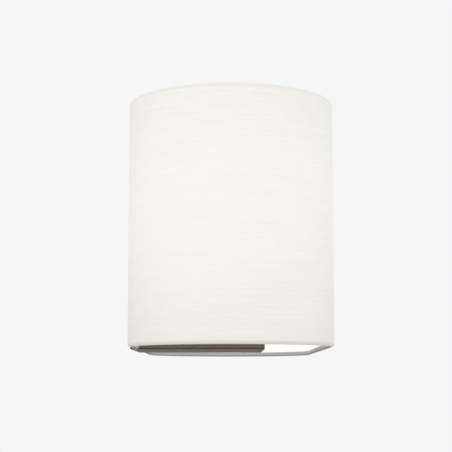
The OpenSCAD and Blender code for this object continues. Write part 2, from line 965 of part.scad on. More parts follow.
// Carrier strap: welded under the crossbar of the lower ring, it lies along the bracket's top
module shade_carrier() {
    back_y = -wall_gap - lining_inset;
    front_y = -(bracket_d - carrier_setback);
    tip_r = carrier_w / 2;
    color(zinc)
        translate([0, 0, bracket_top_z])
            linear_extrude(carrier_t)
                difference() {
                    union() {
                        translate([-carrier_w / 2, front_y + tip_r])
                            square([carrier_w, back_y - front_y - tip_r]);
                        translate([0, front_y + tip_r])
                            circle(tip_r);
                    }
                    translate([0, -stud_y])
                        circle(d = stud_d + 4 * run_gap);
                    translate([0, -pin_y])
                        circle(d = stud_d + 4 * run_gap);
                }
}

module stud_washer() {
    color(zinc)
        translate([0, -stud_y, carrier_top_z])
            difference() {
                cylinder(d = collar_d, h = washer_t);
                translate([0, 0, -cut])
                    cylinder(d = stud_d + 4 * run_gap, h = washer_t + 2 * cut);
            }
}

// Knurled nut: a plain collar below a straight knurl, chamfered at the top
module knurled_nut() {
    collar_h = 1.6;
    knurl = 0.35;
    bore_r = stud_d / 2 + run_gap;
    mouth = 0.8;
    color(brass)
        translate([0, -stud_y, nut_z])
            difference() {
                union() {
                    cylinder(d = collar_d, h = collar_h);
                    translate([0, 0, collar_h])
                        linear_extrude(nut_h - collar_h)
                            polygon([
                                for (k = [0:2 * nut_knurls - 1])
                                    let (
                                        r = nut_d / 2 - (k % 2) * knurl,
                                        angle = 180 * k / nut_knurls
                                    )
                                    [r * cos(angle), r * sin(angle)]
                            ]);
                }
                translate([0, 0, -cut])
                    cylinder(r = bore_r, h = nut_h + 2 * cut);
                translate([0, 0, nut_h - mouth])
                    cylinder(r1 = bore_r, r2 = bore_r + mouth + cut, h = mouth + cut);
            }
}

// Outline of the bulb's glass, drawn a distance inset inside its face, from the neck to the top
function globe_outline(inset) =
    let (
        r = bulb_d / 2 - inset,
        joint = [r * sin(neck_angle), globe_z - r * cos(neck_angle)],
        foot = [neck_r - inset, bulb_z + neck_end_z],
        pull = 6,
        neck_steps = 6,
        curve = [
            foot, foot + [0, pull],
            joint - pull * [cos(neck_angle), sin(neck_angle)], joint
        ],
        arc_steps = 22
    )
    concat(
        [[neck_r - inset, bulb_z + neck_z]],
        [for (i = [0:neck_steps]) curve_point(curve, i / neck_steps)],
        [
            for (i = [1:arc_steps])
                let (angle = neck_angle + (180 - neck_angle) * i / arc_steps)
                i == arc_steps
                    ? [0, globe_z + r]
                    : [r * sin(angle), globe_z - r * cos(angle)]
        ]
    );

module bulb_glass(side) {
    outer = globe_outline(0);
    inner = globe_outline(glass_t);
    color(opal)
        translate([side * lamp_spacing / 2, -lamp_y, 0])
            rotate_extrude()
                polygon(concat(outer, [for (i = [len(inner) - 1:-1:0]) inner[i]]));
}

// Screw cap with its flared collar, and the contact below the insulator
module bulb_cap(side) {
    r = cap_d / 2;
    flare = cap_flare_d / 2;
    edge = cap_wall;
    slope = 0.4;
    color(zinc)
        translate([side * lamp_spacing / 2, -lamp_y, bulb_z]) {
            rotate_extrude()
                polygon([
                    [r - cap_wall, cap_shell_z], [r - edge / 2, cap_shell_z], [r, cap_shell_z + edge],
                    [r, cap_flare_z], [flare, cap_flare_z + cap_flare_rise], [flare, cap_h],
                    [flare - cap_wall, cap_h], [flare - cap_wall, cap_flare_z + cap_flare_rise + slope / 2],
                    [r - cap_wall, cap_flare_z + slope]
                ]);
            cylinder(d1 = contact_d - 1, d2 = contact_d, h = contact_h);
        }
}

// Black insulator between the contact and the cap's shell
module bulb_insulator(side) {
    shell_r = cap_d / 2 - cap_wall - run_gap / 2;
    cone_top = cap_shell_z - contact_h - 0.4;
    disc_top = cap_shell_z + 0.6;
    color(black_rubber)
        translate([side * lamp_spacing / 2, -lamp_y, bulb_z + contact_h])
            rotate_extrude()
                polygon([
                    [0, 0], [contact_d * 2 / 3, 0], [shell_r, cone_top],
                    [shell_r, disc_top], [0, disc_top]
                ]);
}

module left_bulb_glass() {
    bulb_glass(-1);
}

module left_bulb_cap() {
    bulb_cap(-1);
}

module left_bulb_insulator() {
    bulb_insulator(-1);
}

module right_bulb_glass() {
    bulb_glass(1);
}

module right_bulb_cap() {
    bulb_cap(1);
}

module right_bulb_insulator() {
    bulb_insulator(1);
}

wall_plate();
cable_grommet();
bracket_body();
bottom_cover();
cover_screws();
side_screws();
terminal_block();
terminal_barrels();
terminal_screws();
block_screw();
earth_screw();
earth_tag();
left_lampholder();
right_lampholder();
holder_cores();
contact_sleeves();
centre_contacts();
hollow_stems();
locknuts();
brown_leads();
blue_leads();
earth_lead();
shade_stud();
locating_pin();
shade_fabric();
shade_lining();
top_ring();
bottom_ring();
top_edge_roll();
bottom_edge_roll();
shade_carrier();
stud_washer();
knurled_nut();
left_bulb_glass();
left_bulb_cap();
left_bulb_insulator();
right_bulb_glass();
right_bulb_cap();
right_bulb_insulator();
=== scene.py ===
import json
import math

import bmesh
import bpy
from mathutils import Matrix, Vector, noise


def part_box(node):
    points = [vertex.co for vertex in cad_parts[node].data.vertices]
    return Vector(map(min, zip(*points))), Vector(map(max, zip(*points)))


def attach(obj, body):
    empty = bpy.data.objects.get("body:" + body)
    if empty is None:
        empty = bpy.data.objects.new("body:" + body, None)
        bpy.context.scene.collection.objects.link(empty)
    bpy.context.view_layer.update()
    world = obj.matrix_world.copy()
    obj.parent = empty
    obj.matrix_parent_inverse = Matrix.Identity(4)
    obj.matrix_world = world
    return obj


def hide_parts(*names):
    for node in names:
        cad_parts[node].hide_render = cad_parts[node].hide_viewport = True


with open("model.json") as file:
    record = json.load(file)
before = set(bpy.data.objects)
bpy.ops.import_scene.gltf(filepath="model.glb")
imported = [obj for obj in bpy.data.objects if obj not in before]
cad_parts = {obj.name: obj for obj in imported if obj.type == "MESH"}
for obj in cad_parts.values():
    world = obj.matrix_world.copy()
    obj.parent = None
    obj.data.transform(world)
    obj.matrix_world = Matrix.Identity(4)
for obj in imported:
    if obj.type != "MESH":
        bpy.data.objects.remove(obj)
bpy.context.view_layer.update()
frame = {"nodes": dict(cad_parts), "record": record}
mm = 0.001


# Helpers for materials

def linear(hexCode):
    # sRGB hex to the linear colour that a shader takes
    parts = [int(hexCode[i:i + 2], 16) / 255 for i in (1, 3, 5)]
    return (*[c / 12.92 if c <= 0.04045 else ((c + 0.055) / 1.055) ** 2.4 for c in parts], 1)


def addNode(tree, kind, values=None, links=None, **settings):
    # sockets go by name, or by number where names repeat; a linked node gives its first output
    node = tree.nodes.new("ShaderNode" + kind)
    for name, value in settings.items():
        setattr(node, name, value)
    for name, value in (values or {}).items():
        node.inputs[name].default_value = value
    for name, source in (links or {}).items():
        output = source.outputs[0] if isinstance(source, bpy.types.Node) else source
        tree.links.new(output, node.inputs[name])
    return node


def between(source, target=(0, 1)):
    # a span of values, and what it is turned into
    return {"From Min": source[0], "From Max": source[1], "To Min": target[0], "To Max": target[1]}


def newFinish(name, sockets):
    material = bpy.data.materials.new(name)
    material.use_nodes = True
    tree = material.node_tree
    shader = tree.nodes["Principled BSDF"]
    for socket, value in sockets.items():
        shader.inputs[socket].default_value = value
    return material, tree, shader


def grain(sizeMm):
    # noise scale whose blobs are about sizeMm across, in coordinates of metres
    return 1000 / sizeMm


def objectNoise(tree, sizeMm, detail=2, stretch=(1, 1, 1)):
    # noise on the piece itself, in its own metres, drawn out along an axis where stretch is under 1
    spot = addNode(tree, "TexCoord").outputs["Object"]
    drawn = addNode(tree, "Mapping", {"Scale": stretch}, {"Vector": spot})
    return addNode(tree, "TexNoise", {"Scale": grain(sizeMm), "Detail": detail}, {"Vector": drawn})


def upward(tree, kind="Object"):
    # height on the piece itself, or the Z of another kind of coordinates
    spot = addNode(tree, "TexCoord").outputs[kind]
    return addNode(tree, "SeparateXYZ", None, {"Vector": spot}).outputs["Z"]


def mottle(tree, shader, dark, light, factor):
    # base colour between two tones, by a pattern from 0 to 1
    mix = addNode(tree, "Mix", {6: linear(dark), 7: linear(light)}, {0: factor}, data_type="RGBA")
    tree.links.new(mix.outputs[2], shader.inputs["Base Color"])


def stain(tree, shader, tone, factor):
    # one more tone over what the base colour is so far
    plain = shader.inputs["Base Color"].links[0].from_socket
    mix = addNode(tree, "Mix", {7: linear(tone)}, {0: factor, 6: plain}, data_type="RGBA")
    tree.links.new(mix.outputs[2], shader.inputs["Base Color"])


def roughen(tree, shader, low, high, factor):
    # roughness between two values, by a pattern from 0 to 1
    span = addNode(tree, "MapRange", between((0, 1), (low, high)), {"Value": factor})
    tree.links.new(span.outputs["Result"], shader.inputs["Roughness"])


def relief(tree, shader, height, depthMm, strength):
    values = {"Strength": strength, "Distance": depthMm * mm}
    bump = addNode(tree, "Bump", values, {"Height": height})
    tree.links.new(bump.outputs["Normal"], shader.inputs["Normal"])


# Helpers for meshes

sharpAngle = math.radians(40)    # edges sharper than this stay crisp


def meshPiece(name, points, faces, uvs=None, recalc=True):
    mesh = bpy.data.meshes.new(name)
    mesh.from_pydata(points, [], faces)
    if uvs:
        layer = mesh.uv_layers.new(name="girth")
        for loop in mesh.loops:
            layer.data[loop.index].uv = uvs[loop.vertex_index]
    bm = bmesh.new()
    bm.from_mesh(mesh)
    bmesh.ops.remove_doubles(bm, verts=bm.verts, dist=1e-7)    # what meets on an axis is one point
    if recalc:
        bmesh.ops.recalc_face_normals(bm, faces=bm.faces)
    bm.to_mesh(mesh)
    bm.free()
    mesh.shade_smooth()
    mesh.set_sharp_from_angle(angle=sharpAngle)
    piece = bpy.data.objects.new(name, mesh)
    bpy.context.scene.collection.objects.link(piece)
    return piece


def thicken(piece, thickness):
    # gives a sheet its other face, on the inner side
    modifier = piece.modifiers.new("thickness", "SOLIDIFY")
    modifier.thickness, modifier.offset = thickness, -1
    bpy.context.view_layer.objects.active = piece
    bpy.ops.object.modifier_apply(modifier=modifier.name)
    piece.data.set_sharp_from_angle(angle=sharpAngle)


def gridFaces(rows, columns, closeRows=False, closeColumns=False):
    # quads of a grid whose points are listed row by row; a closed side joins up with its start
    faces = []
    for r in range(rows if closeRows else rows - 1):
        for c in range(columns if closeColumns else columns - 1):
            here, above, nextC = r * columns, (r + 1) % rows * columns, (c + 1) % columns
            faces.append((here + c, here + nextC, above + nextC, above + c))
    return faces


def quarterTurn(steps):
    # angles along a rounded corner
    return [math.radians(90 * k / steps) for k in range(steps + 1)]


def revolve(name, outline, centre, steps, shape=None, recalc=True):
    # outline is (radius, z) pairs; shape may change the radius with the angle
    points = []
    for radius, z in outline:
        for k in range(steps):
            angle = 2 * math.pi * k / steps
            r = shape(angle, radius, z) if shape else radius
            points.append((centre[0] + r * math.cos(angle), centre[1] + r * math.sin(angle), z))
    faces = gridFaces(len(outline), steps, closeColumns=True)
    return meshPiece(name, points, faces, recalc=recalc)


def dress(piece, material, body, slot, *replaced):
    piece.data.materials.append(material)
    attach(piece, body)
    if replaced:
        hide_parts(*replaced)
    return piece


# Camera: level with the bracket, at the lamp's left end, looking a little up

cameraPlace = {
    "spot": (-0.9234, -0.0652, -0.0380),  # metres
    "up": 7.20,        # degrees above the horizon
    "turn": -0.11,     # degrees off the X axis
    "lens": 99.5,      # mm
    "sensor": 36,      # mm
    "nearest": 0.05,   # metres, what is closer isn't drawn
}


def makeCamera():
    camera = bpy.data.objects.new("camera", bpy.data.cameras.new("camera"))
    bpy.context.scene.collection.objects.link(camera)
    up, turn = math.radians(cameraPlace["up"]), math.radians(cameraPlace["turn"])
    level = math.cos(up)
    ahead = Vector((math.cos(turn) * level, math.sin(turn) * level, math.sin(up)))
    camera.location = cameraPlace["spot"]
    camera.rotation_euler = ahead.to_track_quat("-Z", "Y").to_euler()
    camera.data.lens = cameraPlace["lens"]
    camera.data.sensor_width = cameraPlace["sensor"]
    camera.data.clip_start = cameraPlace["nearest"]
    bpy.context.scene.camera = camera


makeCamera()
print("camera placed")


# The shade's outline, read from the frame

rollLow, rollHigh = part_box("top_edge_roll")
wireLow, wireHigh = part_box("top_ring")
bracketLow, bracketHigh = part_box("bracket_body")
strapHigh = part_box("shade_carrier")[1]

shadeForm = {
    "fabric": 0.5 * mm,       # thickness of the cloth
    "lining": 0.7 * mm,       # thickness of the stiff sheet behind it
    "glue": 0.1 * mm,
    "notchGap": 1.0 * mm,     # between the bracket's side and the rolled edge
    "bend": 5.0 * mm,         # bend radius of the ring wire
    "seamWidth": 10 * mm,
    "lapLift": 1.1,           # thicknesses that the lapped end stands out at the seam
    "ripple": 0.22 * mm,      # how far the flat panels wander in and out
    "rippleSpan": (70 * mm, 90 * mm),    # length and height of these waves
}
rollRadius = (rollHigh.z - rollLow.z) / 2
wireRadius = (wireHigh.z - wireLow.z) / 2
backY = rollHigh.y
wireY = backY - rollRadius
endRadius = (rollHigh.y - rollLow.y) / 2
straightHalf = rollHigh.x - endRadius
middleY = backY - endRadius
girth = 4 * straightHalf + 2 * math.pi * endRadius
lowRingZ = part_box("bottom_edge_roll")[0].z + rollRadius
highRingZ = rollHigh.z - rollRadius
crossbarZ = strapHigh.z + wireRadius
notchHalf = bracketHigh.x + shadeForm["notchGap"] + rollRadius
seamMiddle = (notchHalf + shadeForm["bend"] + straightHalf) / 2
seamStart = seamMiddle - shadeForm["seamWidth"] / 2


def outlinePoint(s, inset):
    # point and outward direction, s metres round the shade from the middle of its back panel
    s %= girth
    arc = math.pi * endRadius
    corners = [straightHalf, arc, 2 * straightHalf, arc, straightHalf]
    stretch = 0
    while stretch < 4 and s > corners[stretch]:
        s -= corners[stretch]
        stretch += 1
    if stretch in (1, 3):
        side = 1 if stretch == 1 else -1
        out = Vector((side * math.sin(s / endRadius), side * math.cos(s / endRadius), 0))
        return Vector((side * straightHalf, middleY, 0)) + out * (endRadius - inset), out
    if stretch == 2:
        point = Vector((straightHalf - s, middleY - endRadius + inset, 0))
        return point, Vector((0, -1, 0))
    point = Vector((s if stretch == 0 else s - straightHalf, backY - inset, 0))
    return point, Vector((0, 1, 0))


def ripple(point, z):
    # slow waves in the flat panels, none at the rims where the wire holds the cloth
    hold = math.sin(math.pi * min(max((z - lowRingZ) / (highRingZ - lowRingZ), 0), 1))
    along, up = shadeForm["rippleSpan"]
    wave = noise.noise(Vector((point.x / along, point.y / along, z / up)))
    return shadeForm["ripple"] * hold * wave


sheetMesh = {
    "flat": 4 * mm,        # width of the faces on the flat panels
    "round": 2.4 * mm,     # and on the round ends
    "bendSteps": 8,        # in the notch's corners
    "topSteps": 10,        # on either half of the notch's top
    "farSteps": 12,        # from the round end to the notch
    "nearSteps": 6,        # from the notch to the seam, and over the lap
    "lowRows": 7,          # beside the notch
    "midRows": 3,          # beside its upper corners
    "highRows": 34,        # above it
    "clear": 6 * mm,       # height over the notch at which the last of these start
}


def sheetColumns(half, footBend, headBend, lap):
    # places of the mesh columns, close together on the curves, from the seam round to the seam
    stops = [seamStart, straightHalf]
    for length in (math.pi * endRadius, 2 * straightHalf, math.pi * endRadius):
        stops.append(stops[-1] + length)
    columns = []
    widths = (sheetMesh["flat"], sheetMesh["round"]) * 2
    for low, high, width in zip(stops, stops[1:], widths):
        count = math.ceil((high - low) / width)
        columns += [low + (high - low) * k / count for k in range(count)]
    turns = quarterTurn(sheetMesh["bendSteps"])
    foot = [half + footBend - footBend * math.sin(t) for t in turns]
    head = [half - headBend + headBend * math.cos(t) for t in turns]
    edge = sorted(set(foot + head[1:]))
    top, far, near = sheetMesh["topSteps"], sheetMesh["farSteps"], sheetMesh["nearSteps"]
    flat = [head[-1] * (k / top - 1) for k in range(1, 2 * top)]
    reach = straightHalf - edge[-1]
    columns += [girth - straightHalf + reach * k / far for k in range(far)]
    columns += [girth - x for x in reversed(edge)]
    columns += [girth + x for x in flat + edge]
    reach = seamStart - edge[-1]
    columns += [girth + edge[-1] + reach * k / near for k in range(1, near + 1)]
    if lap:
        columns += [girth + seamStart + lap * k / near for k in range(1, near + 1)]
    return columns


def shadeSheet(name, inset, thickness, grow, lap):
    # a sheet round the shade between its two rings, cut out at the back round the bracket
    half, top = notchHalf + grow, crossbarZ + grow
    headBend, footBend = shadeForm["bend"] + grow, shadeForm["bend"] - grow
    base, ceiling = lowRingZ + grow, highRingZ - grow
    middle, split = top - headBend, top + sheetMesh["clear"]
    lowRows, midRows, highRows = (sheetMesh[key] for key in ("lowRows", "midRows", "highRows"))

    def lowEdge(x):
        if x >= half + footBend:
            return base
        if x >= half:
            return base + footBend - math.sqrt(max(footBend ** 2 - (half + footBend - x) ** 2, 0))
        if x > half - headBend:
            return middle + math.sqrt(max(headBend ** 2 - (x - half + headBend) ** 2, 0))
        return top

    points, uvs, index = [], [], {}
    for c, s in enumerate(sheetColumns(half, footBend, headBend, lap)):
        across = round(abs(s - girth), 7)    # rounded, so that both sides of the notch are alike
        beside = across >= round(half, 7)
        foot = middle if beside else lowEdge(across)
        levels = [foot + (split - foot) * k / midRows for k in range(midRows)]
        levels += [split + (ceiling - split) * k / highRows for k in range(highRows + 1)]
        if beside:
            low = lowEdge(max(across, half))
            levels = [low + (middle - low) * k / lowRows for k in range(lowRows)] + levels
        # the lapped end climbs onto the first turn of cloth over half the seam's width
        past = (s - girth - seamStart) / shadeForm["seamWidth"]
        climb = min(max(past + 0.5, 0), 0.5) * 2 if lap else 0
        for r, z in enumerate(levels, 0 if beside else lowRows):
            point, out = outlinePoint(s, inset)
            proud = ripple(point, z) + climb * shadeForm["lapLift"] * thickness
            index[c, r] = len(points)
            points.append(point + out * proud + Vector((0, 0, z)))
            uvs.append((s, z))
    faces = []
    for c, r in index:
        ring = [(c, r), (c, r + 1), (c + 1, r + 1), (c + 1, r)]
        if all(key in index for key in ring):
            faces.append([index[key] for key in ring])
    piece = meshPiece(name, points, faces, uvs, recalc=False)
    thicken(piece, thickness)
    return piece


# Light of the two lamps on the shade, as seen from outside it

glassBoxes = [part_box(side + "_bulb_glass") for side in ("left", "right")]
globeRadius = (glassBoxes[0][1].x - glassBoxes[0][0].x) / 2
lampPlaces = [((low.x + high.x) / 2, (low.y + high.y) / 2, high.z - globeRadius)
              for low, high in glassBoxes]

glowForm = {
    "peak": 0.345,     # brightest light through the shade
    "dip": 0.68,       # how much darker it is far from the lamps
    "reach": 5.5,      # how fast it falls
    "knee": 0.6,       # below 1, it falls more softly
    "least": 0.13,     # what the white inside sends everywhere
    "blend": 0.08,     # how softly the falling light ends in that
}


def lampGlow(tree):
    # the sheet scatters what reaches it squarely, so a lamp counts by (facing / distance) squared
    spot = addNode(tree, "TexCoord").outputs
    shares = []
    for place in lampPlaces:
        ray = addNode(tree, "VectorMath", {1: place}, {0: spot["Object"]}, operation="SUBTRACT")
        facing = addNode(tree, "VectorMath", None, {0: ray, 1: spot["Normal"]},
                         operation="DOT_PRODUCT").outputs["Value"]
        squared = addNode(tree, "VectorMath", None, {0: ray, 1: ray},
                          operation="DOT_PRODUCT").outputs["Value"]
        close = addNode(tree, "Math", None, {0: facing, 1: squared}, operation="DIVIDE")
        shares.append(addNode(tree, "Math", {1: 2}, {0: close}, operation="POWER"))
    total = addNode(tree, "Math", None, dict(enumerate(shares)), operation="ADD")
    soft = addNode(tree, "Math", {1: glowForm["knee"]}, {0: total}, operation="POWER")
    faded = addNode(tree, "Math", {1: -1 / glowForm["reach"]}, {0: soft}, operation="MULTIPLY")
    dark = addNode(tree, "Math", None, {0: faded}, operation="EXPONENT")
    fall = {1: -glowForm["dip"], 2: glowForm["peak"]}
    direct = addNode(tree, "Math", fall, {0: dark}, operation="MULTIPLY_ADD")
    least = {1: glowForm["least"], 2: glowForm["blend"]}
    return addNode(tree, "Math", least, {0: direct}, operation="SMOOTH_MAX")


def lightThrough(tree, shader, glow, tint, strength=1.0):
    # white light, tinted by the sheet that it comes through
    tones = {6: linear("#000000"), 7: linear(tint)}
    colour = addNode(tree, "Mix", tones, {0: glow}, data_type="RGBA")
    tree.links.new(colour.outputs[2], shader.inputs["Emission Color"])
    shader.inputs["Emission Strength"].default_value = strength


# Materials: cloth

weave = {
    "dark": "#DCD7CE", "light": "#E3DED6",
    "pitchMm": 1.0,            # real threads are 0.5 mm apart, drawn wider so that they show
    "weftMm": 50,              # length of the uneven places in the weft
    "weftJump": 3.3,           # steps of that noise from one thread to the next
    "slubMm": 16,              # length of the thick places in it
    "slubJump": 7.3,
    "slubSpan": (0.52, 0.72),  # noise at which a slub starts and is full
    "slubShare": 0.3,
    "warpMm": (1.2, 30),       # real spacing 0.5 mm, drawn wider so that it shows
    "warpShare": 0.4,
    "toneSpan": (0.4, 1.1),    # pattern that gets the dark and the light tone
    "thinSpan": (0.35, 1.15),  # pattern where the cloth is thickest and thinnest
    "thinLight": (0.975, 1.025),
    "reliefMm": (60, 0.9),     # length and width of the raised threads
    "tint": "#F5F9FF", "lit": 1.07,    # light that it lets through
    "lapLight": 0.8,           # light left where it is double, at the seam
    "lapEdge": 0.3 * mm,       # width over which that starts
}
rimLook = {
    # spans are lengths round the roll, from its outermost line inwards
    "glue": "#8E8D8D", "turnedInShade": 0.4,    # tone of the painted shade on the turned-in cloth, and its share
    "turnedInShadeSpan": (2.2 * rollRadius, 3.2 * rollRadius),    # where it starts and is full
    # painted shade along the rim of the roll
    "rimShadeTone": "#797775",
    "rimShadeShare": (0.78, 0.35),     # its share on the bottom and top rim
    "rimShadeMiddle": 2.05 * rollRadius,
    "rimShadeSpan": (0.75 * rollRadius, 0.4 * rollRadius),    # how far from there it ends and is full
    "light": (0.4, 0.74),      # light left in the bottom and top hem
    "lightSpan": (1.2 * rollRadius, 2.0 * rollRadius),    # where that falls further
    "inside": 0.2,             # what is left of it inside the roll
    "edge": 0.8 * mm,          # height over which the cloth darkens towards it
}


def threadNoise(tree, place, size, detail):
    # size is in mm, along the weft and across it
    scale = (grain(size[0]), grain(size[1]), 1)
    drawn = addNode(tree, "Mapping", {"Scale": scale}, {"Vector": place})
    values = {"Scale": 1, "Detail": detail, "Roughness": 0.6}
    return addNode(tree, "TexNoise", values, {"Vector": drawn})


def wovenThreads(tree, place, across):
    # each thread has its own slubs, so the noise jumps from row to row
    pitch = weave["pitchMm"]
    row = addNode(tree, "Math", {1: pitch * mm}, {0: across["Y"]}, operation="SNAP")
    own = addNode(tree, "CombineXYZ", None, {"X": across["X"], "Y": row})
    threads = threadNoise(tree, own, (weave["weftMm"], pitch / weave["weftJump"]), 2)
    slub = threadNoise(tree, own, (weave["slubMm"], pitch / weave["slubJump"]), 1)
    slub = addNode(tree, "MapRange", between(weave["slubSpan"]), {"Value": slub})
    warp = threadNoise(tree, place, weave["warpMm"], 1)
    for more, share in ((slub, weave["slubShare"]), (warp, weave["warpShare"])):
        links = {0: more, 2: threads}
        threads = addNode(tree, "Math", {1: share}, links, operation="MULTIPLY_ADD")
    return threads


def clothLight(tree, across):
    # less light comes through beside the hems, and where the cloth is double
    lights = []
    low, high = rimLook["light"]
    for z, edge, share in ((lowRingZ, rimLook["edge"], low), (highRingZ, -rimLook["edge"], high)):
        rise = between((z, z + edge), (share, 1))
        lights.append(addNode(tree, "MapRange", rise, {"Value": across["Y"]},
                              interpolation_type="SMOOTHSTEP"))
    lap = girth + seamStart
    double = between((lap, lap + weave["lapEdge"]), (1, weave["lapLight"]))
    lights.append(addNode(tree, "MapRange", double, {"Value": across["X"]}))
    return lights


# painted shade on the hem roll: on the turned-in cloth and along the rim
def paintRimShade(tree, shader, inwards, rimShadeShare):
    # painted shade on what is turned in, inside the roll
    turned = between(rimLook["turnedInShadeSpan"], (0, rimLook["turnedInShade"]))
    stain(tree, shader, rimLook["glue"], addNode(tree, "MapRange", turned, {"Value": inwards}))
    # painted shade along the rim of the roll, more on the bottom hem than the top
    off = addNode(tree, "Math", {1: rimLook["rimShadeMiddle"]}, {0: inwards}, operation="SUBTRACT")
    off = addNode(tree, "Math", None, {0: off}, operation="ABSOLUTE")
    rim = between(rimLook["rimShadeSpan"], (0, rimShadeShare))
    stain(tree, shader, rimLook["rimShadeTone"], addNode(tree, "MapRange", rim, {"Value": off}))


def slubCloth(name, share=1, rimShadeShare=None):
    # plain-woven polyester with a slub weft: matt, with fine uneven threads round the shade
    cloth, tree, shader = newFinish(name, {
        "Roughness": 0.9, "Specular IOR Level": 0.2, "Sheen Weight": 0.06, "Sheen Roughness": 0.5})
    place = addNode(tree, "UVMap", uv_map="girth")
    across = addNode(tree, "SeparateXYZ", None, {"Vector": place}).outputs
    threads = wovenThreads(tree, place, across)
    tone = addNode(tree, "MapRange", between(weave["toneSpan"]), {"Value": threads})
    mottle(tree, shader, weave["dark"], weave["light"], tone)
    raised = threadNoise(tree, place, weave["reliefMm"], 3)
    relief(tree, shader, raised, depthMm=0.1, strength=0.35)
    if rimShadeShare is None:
        lights = clothLight(tree, across)
    else:
        inwards = addNode(tree, "Math", None, {0: across["Y"]}, operation="ABSOLUTE")
        paintRimShade(tree, shader, inwards, rimShadeShare)
        turned = between(rimLook["lightSpan"], (1, rimLook["inside"]))
        lights = [addNode(tree, "MapRange", turned, {"Value": inwards})]
    thinness = between(weave["thinSpan"], weave["thinLight"])
    thin = addNode(tree, "MapRange", thinness, {"Value": threads})
    glow = lampGlow(tree)
    for light in (thin, *lights):
        glow = addNode(tree, "Math", None, {0: glow, 1: light}, operation="MULTIPLY")
    if share < 1:
        glow = addNode(tree, "Math", {1: share}, {0: glow}, operation="MULTIPLY")
    lightThrough(tree, shader, glow, weave["tint"], weave["lit"])
    return cloth


# Materials: lining, coats, metals, mouldings and glass

liningGlow = {
    "foot": 0.42, "middle": 0.12,    # its own light low down, and half way up
    "head": 0.15,                    # what is added at the top
    "far": 30 * mm, "near": 4 * mm,  # distance from the rims at which this starts and is full
}


def whiteLining():
    # calendered PVC lampshade sheet: smooth, satin, white, and bright where the lamps are near
    sheet, tree, shader = newFinish("white_pvc_lining", {"Roughness": 0.45, "IOR": 1.53})
    mottle(tree, shader, "#ECEAE5", "#F4F2EE", objectNoise(tree, 30))
    # the rollers' grain is about 0.2 mm, drawn coarser so that it shows
    relief(tree, shader, objectNoise(tree, 1.5, 3), depthMm=0.02, strength=0.3)
    # light goes round and round inside the shade, least near its open ends,
    # so the sheet gets more of its own there
    height = upward(tree)
    far, near = liningGlow["far"], liningGlow["near"]
    low = between((lowRingZ + far, lowRingZ + near), (liningGlow["middle"], liningGlow["foot"]))
    high = between((highRingZ - far, highRingZ - near), (0, liningGlow["head"]))
    parts = [addNode(tree, "MapRange", span, {"Value": height}, interpolation_type="SMOOTHSTEP")
             for span in (low, high)]
    glow = addNode(tree, "Math", None, dict(enumerate(parts)), operation="ADD")
    lightThrough(tree, shader, glow, "#FFFEFB")
    return sheet


def powderCoat(name, dark, light, roughness, peelMm=0.9, gloss=0.5):
    # powder-coated steel: even satin colour with the faint orange peel of baked powder,
    # whose dimples are about 1 mm apart
    coat, tree, shader = newFinish(name, {"IOR": 1.5, "Specular IOR Level": gloss})
    mottle(tree, shader, dark, light, objectNoise(tree, 4, 3))
    roughen(tree, shader, roughness - 0.04, roughness + 0.05, objectNoise(tree, 7))
    relief(tree, shader, objectNoise(tree, peelMm), depthMm=0.02, strength=0.5)
    return coat


# painted shade line along the bracket's lower edges, not on faces that look down
edgeShadeLine = {
    "tone": "#3A3028",
    "height": (0.9 * mm, 0.5 * mm),    # above the lower edge, where it starts and is full
    "facing": (-0.8, -0.4),            # none on a face that looks down
}


def bronzeSteel():
    # the bracket's coat, with a painted shade line along its lower edges
    coat = powderCoat("bronze_powder_coat", "#6E5D4F", "#7B695B", 0.6, gloss=0.25)
    tree = coat.node_tree
    start, full = (bracketLow.z + height for height in edgeShadeLine["height"])
    line = addNode(tree, "MapRange", between((start, full)), {"Value": upward(tree)})
    facing = upward(tree, "Normal")
    side = addNode(tree, "MapRange", between(edgeShadeLine["facing"]), {"Value": facing})
    share = addNode(tree, "Math", None, {0: line, 1: side}, operation="MULTIPLY")
    stain(tree, tree.nodes["Principled BSDF"], edgeShadeLine["tone"], share)
    return coat


def zincPlate():
    # bright zinc on steel, passivated: grey metal with a faint blotchy blue and yellow cast
    zinc, tree, shader = newFinish("zinc_plated_steel", {"Metallic": 1.0})
    mottle(tree, shader, "#A9ABA6", "#BCBFC4", objectNoise(tree, 9, 4))
    roughen(tree, shader, 0.28, 0.44, objectNoise(tree, 3, 4))
    # the plating's own grain is under 0.1 mm, drawn coarser so that it shows
    relief(tree, shader, objectNoise(tree, 0.8, 3), depthMm=0.015, strength=0.4)
    return zinc


def turnedBrass():
    # brass turned on a lathe: yellow metal with fine rings and dull patches from handling
    brass, tree, shader = newFinish("turned_brass", {"Metallic": 1.0})
    mottle(tree, shader, "#B08A45", "#CFAE68", objectNoise(tree, 5, 4))
    roughen(tree, shader, 0.24, 0.42, objectNoise(tree, 2, 3))
    # tool marks are 0.1 mm apart, drawn coarser so that they show
    rings = objectNoise(tree, 0.5, stretch=(0.08, 0.08, 1))
    relief(tree, shader, rings, depthMm=0.02, strength=0.5)
    return brass


def nickelPlate():
    # nickel-plated brass cap, rolled: bright and slightly warm, dulled by screwing it in
    nickel, tree, shader = newFinish("nickel_plated_brass", {"Metallic": 1.0})
    mottle(tree, shader, "#B9B3A6", "#D3CFC6", objectNoise(tree, 6, 4))
    roughen(tree, shader, 0.18, 0.36, objectNoise(tree, 1.6, 4))
    return nickel


def mouldedPlastic(name, dark, light, roughness, sparkMm=0.7):
    # thermoset or PVC moulding: even colour with the fine spark-eroded grain of the tool
    plastic, tree, shader = newFinish(name, {"IOR": 1.5})
    mottle(tree, shader, dark, light, objectNoise(tree, 8, 3))
    roughen(tree, shader, roughness - 0.05, roughness + 0.07, objectNoise(tree, 3, 3))
    # the tool's grain is about 0.1 mm, drawn coarser so that it shows
    relief(tree, shader, objectNoise(tree, sparkMm), depthMm=0.02, strength=0.4)
    return plastic


